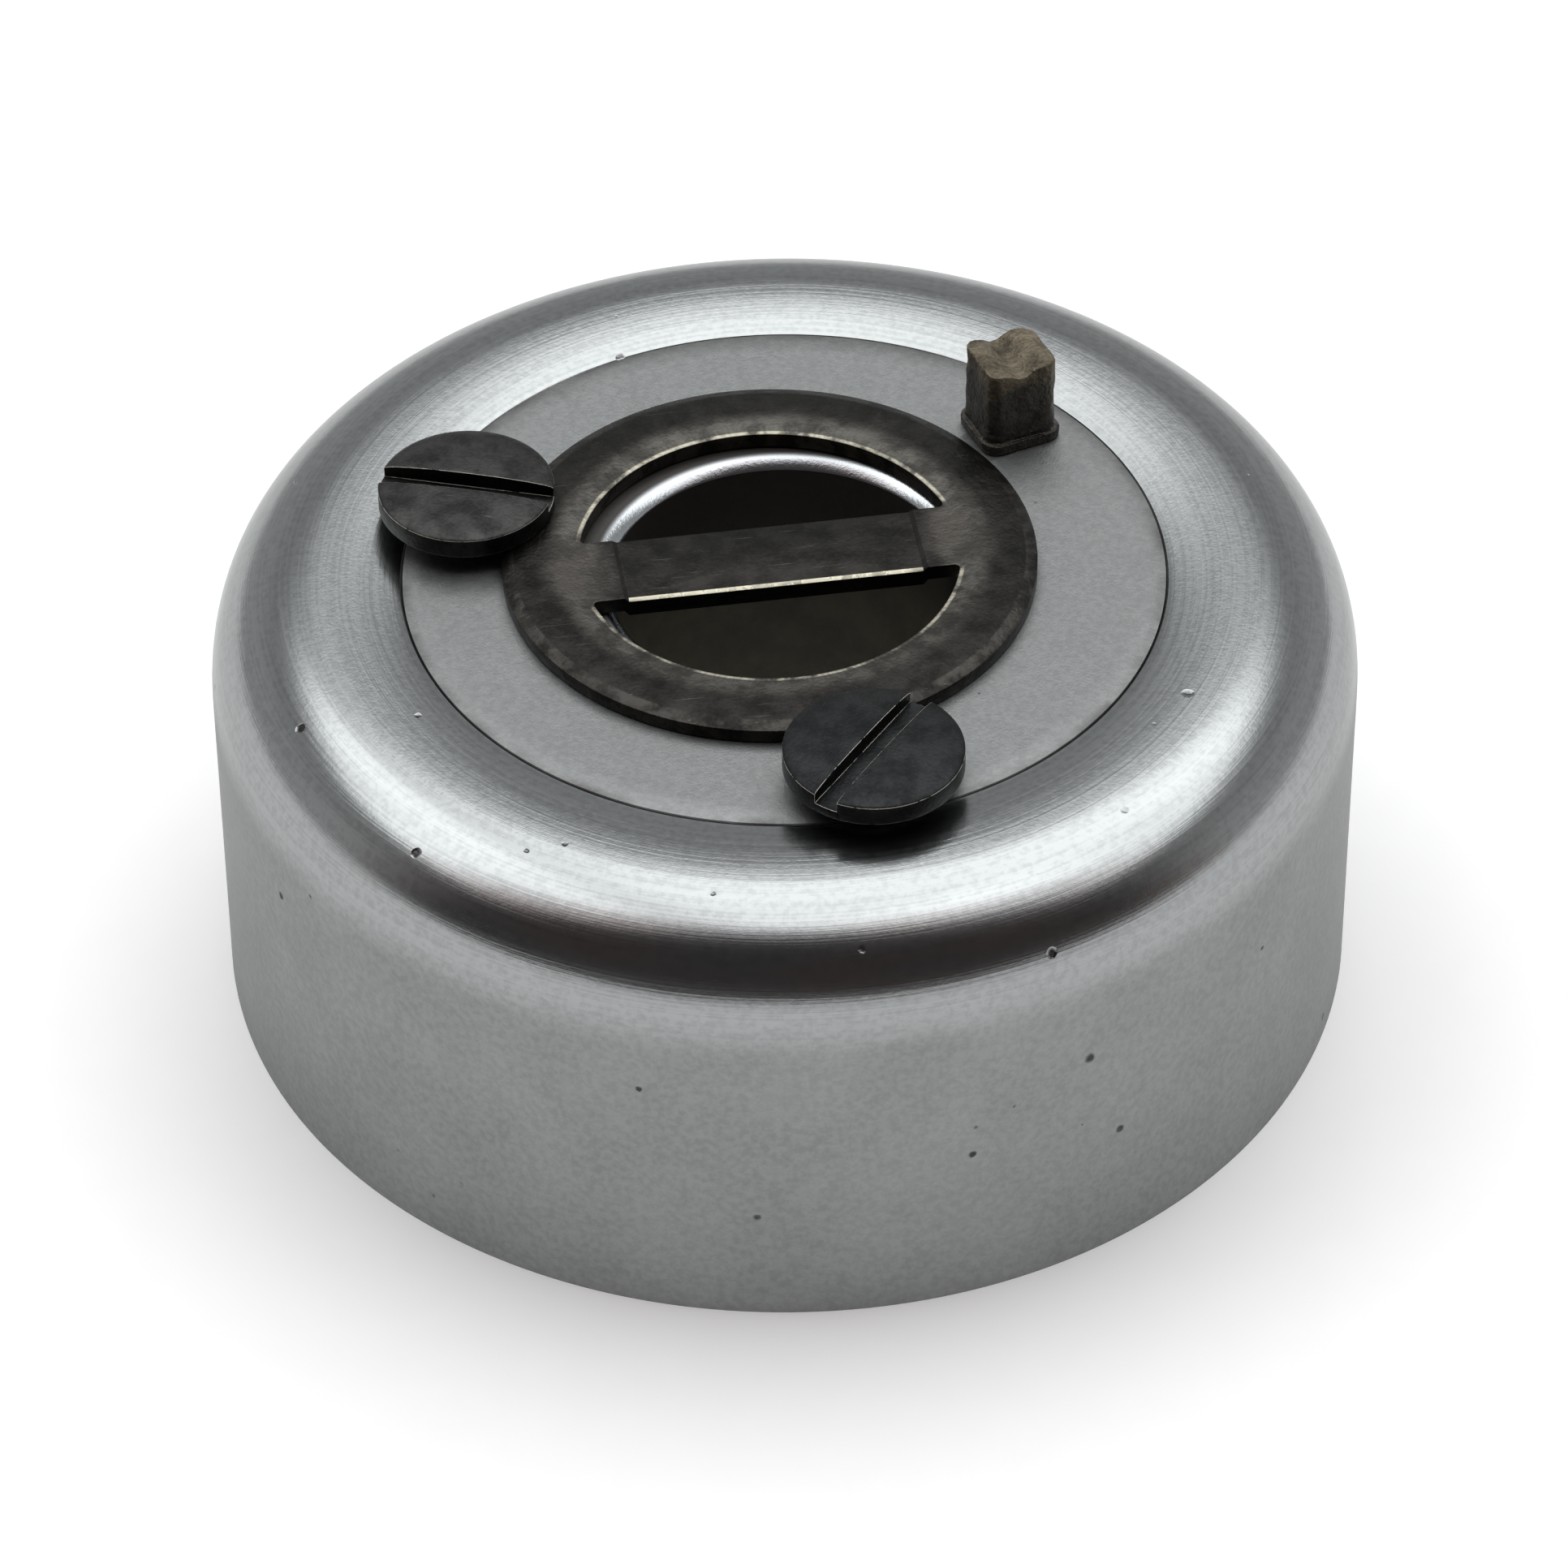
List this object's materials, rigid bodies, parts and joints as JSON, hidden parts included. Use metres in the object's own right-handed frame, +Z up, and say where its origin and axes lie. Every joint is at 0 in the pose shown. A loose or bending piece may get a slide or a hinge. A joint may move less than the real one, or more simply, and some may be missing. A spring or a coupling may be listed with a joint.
{
  "type": "bobbin case",
  "caption": "Round metal sewing machine bobbin case with a turning retaining disc, locating peg, side tension spring and an empty bobbin on its centre tube.",
  "frame": {"origin": "centre of the open bottom rim, on the surface that the case stands on", "axes": "+Z up the bore through the closed end, +Y towards the tension spring in the wall, +X to the right of the locating peg's side"},
  "size_m": [0.029, 0.029, 0.0142],
  "materials": {
    "zinc_case": "satin zinc-grey steel, polished crown with fine turning lines",
    "matt_plate": "matt light grey steel",
    "polished_tube": "polished mouth, dark oiled bore",
    "dark_disc": "dark oxidised steel, worn lighter on the land round the windows",
    "blued_screw": "charcoal blued steel with bright worn edges",
    "peg_steel": "rough cut, golden brown top and dark sides",
    "spring_steel": "fine brushed spring steel",
    "small_screw": "dark steel with worn slots",
    "bobbin_steel": "bright turned steel"
  },
  "bodies": {
    "case": {"case_shell": "zinc_case", "hub_plate": "matt_plate", "hub_tube": "polished_tube", "keeper_screw_left": "blued_screw", "keeper_screw_right": "blued_screw", "locating_peg": "peg_steel", "tension_spring": "spring_steel", "tension_fixing_screw": "small_screw", "brake_spring": "spring_steel"},
    "disc": {"retaining_disc": "dark_disc"},
    "bobbin": {"bobbin_core": "bobbin_steel", "bobbin_lower_flange": "bobbin_steel", "bobbin_upper_flange": "bobbin_steel"},
    "adjuster": {"tension_adjusting_screw": "small_screw"}
  },
  "joints": [
    {"name": "disc_turn", "type": "hinge", "parent": "case", "child": "disc", "pos_m": [-0.00036, 0.00013, 0.012], "axis": [0, 0, 1], "continuous": true},
    {"name": "bobbin_spin", "type": "hinge", "parent": "case", "child": "bobbin", "pos_m": [0, 0, 0.005], "axis": [0, 0, 1], "continuous": true},
    {"name": "tension_adjust", "type": "hinge", "parent": "case", "child": "adjuster", "pos_m": [-0.00362, 0.01352, 0.0054], "axis": [-0.2588, 0.9659, 0], "range_deg": [-180, 180]}
  ]
}
